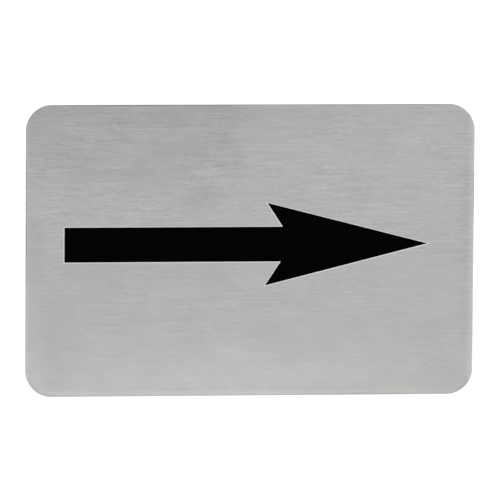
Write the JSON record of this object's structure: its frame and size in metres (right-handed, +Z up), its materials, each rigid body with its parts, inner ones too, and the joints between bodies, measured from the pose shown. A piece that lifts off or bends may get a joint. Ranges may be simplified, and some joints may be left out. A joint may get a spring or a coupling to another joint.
{
  "type": "arrow sign",
  "caption": "Brushed steel direction plate with rounded corners, a black arrow filled into its face and foam tape on its back to fix it to a wall or door.",
  "frame": {"origin": "centre of the foam tape's wall side", "axes": "+X along the plate's width to the viewer's right, +Y into the wall, +Z up; the front with the arrow faces -Y"},
  "size_m": [0.1, 0.0018, 0.065],
  "materials": {
    "steel": "satin",
    "enamel": "satin",
    "foam": "matte"
  },
  "bodies": {
    "root": {"sign_plate": "steel", "arrow_inlay": "enamel", "adhesive_pad": "foam"}
  },
  "joints": []
}
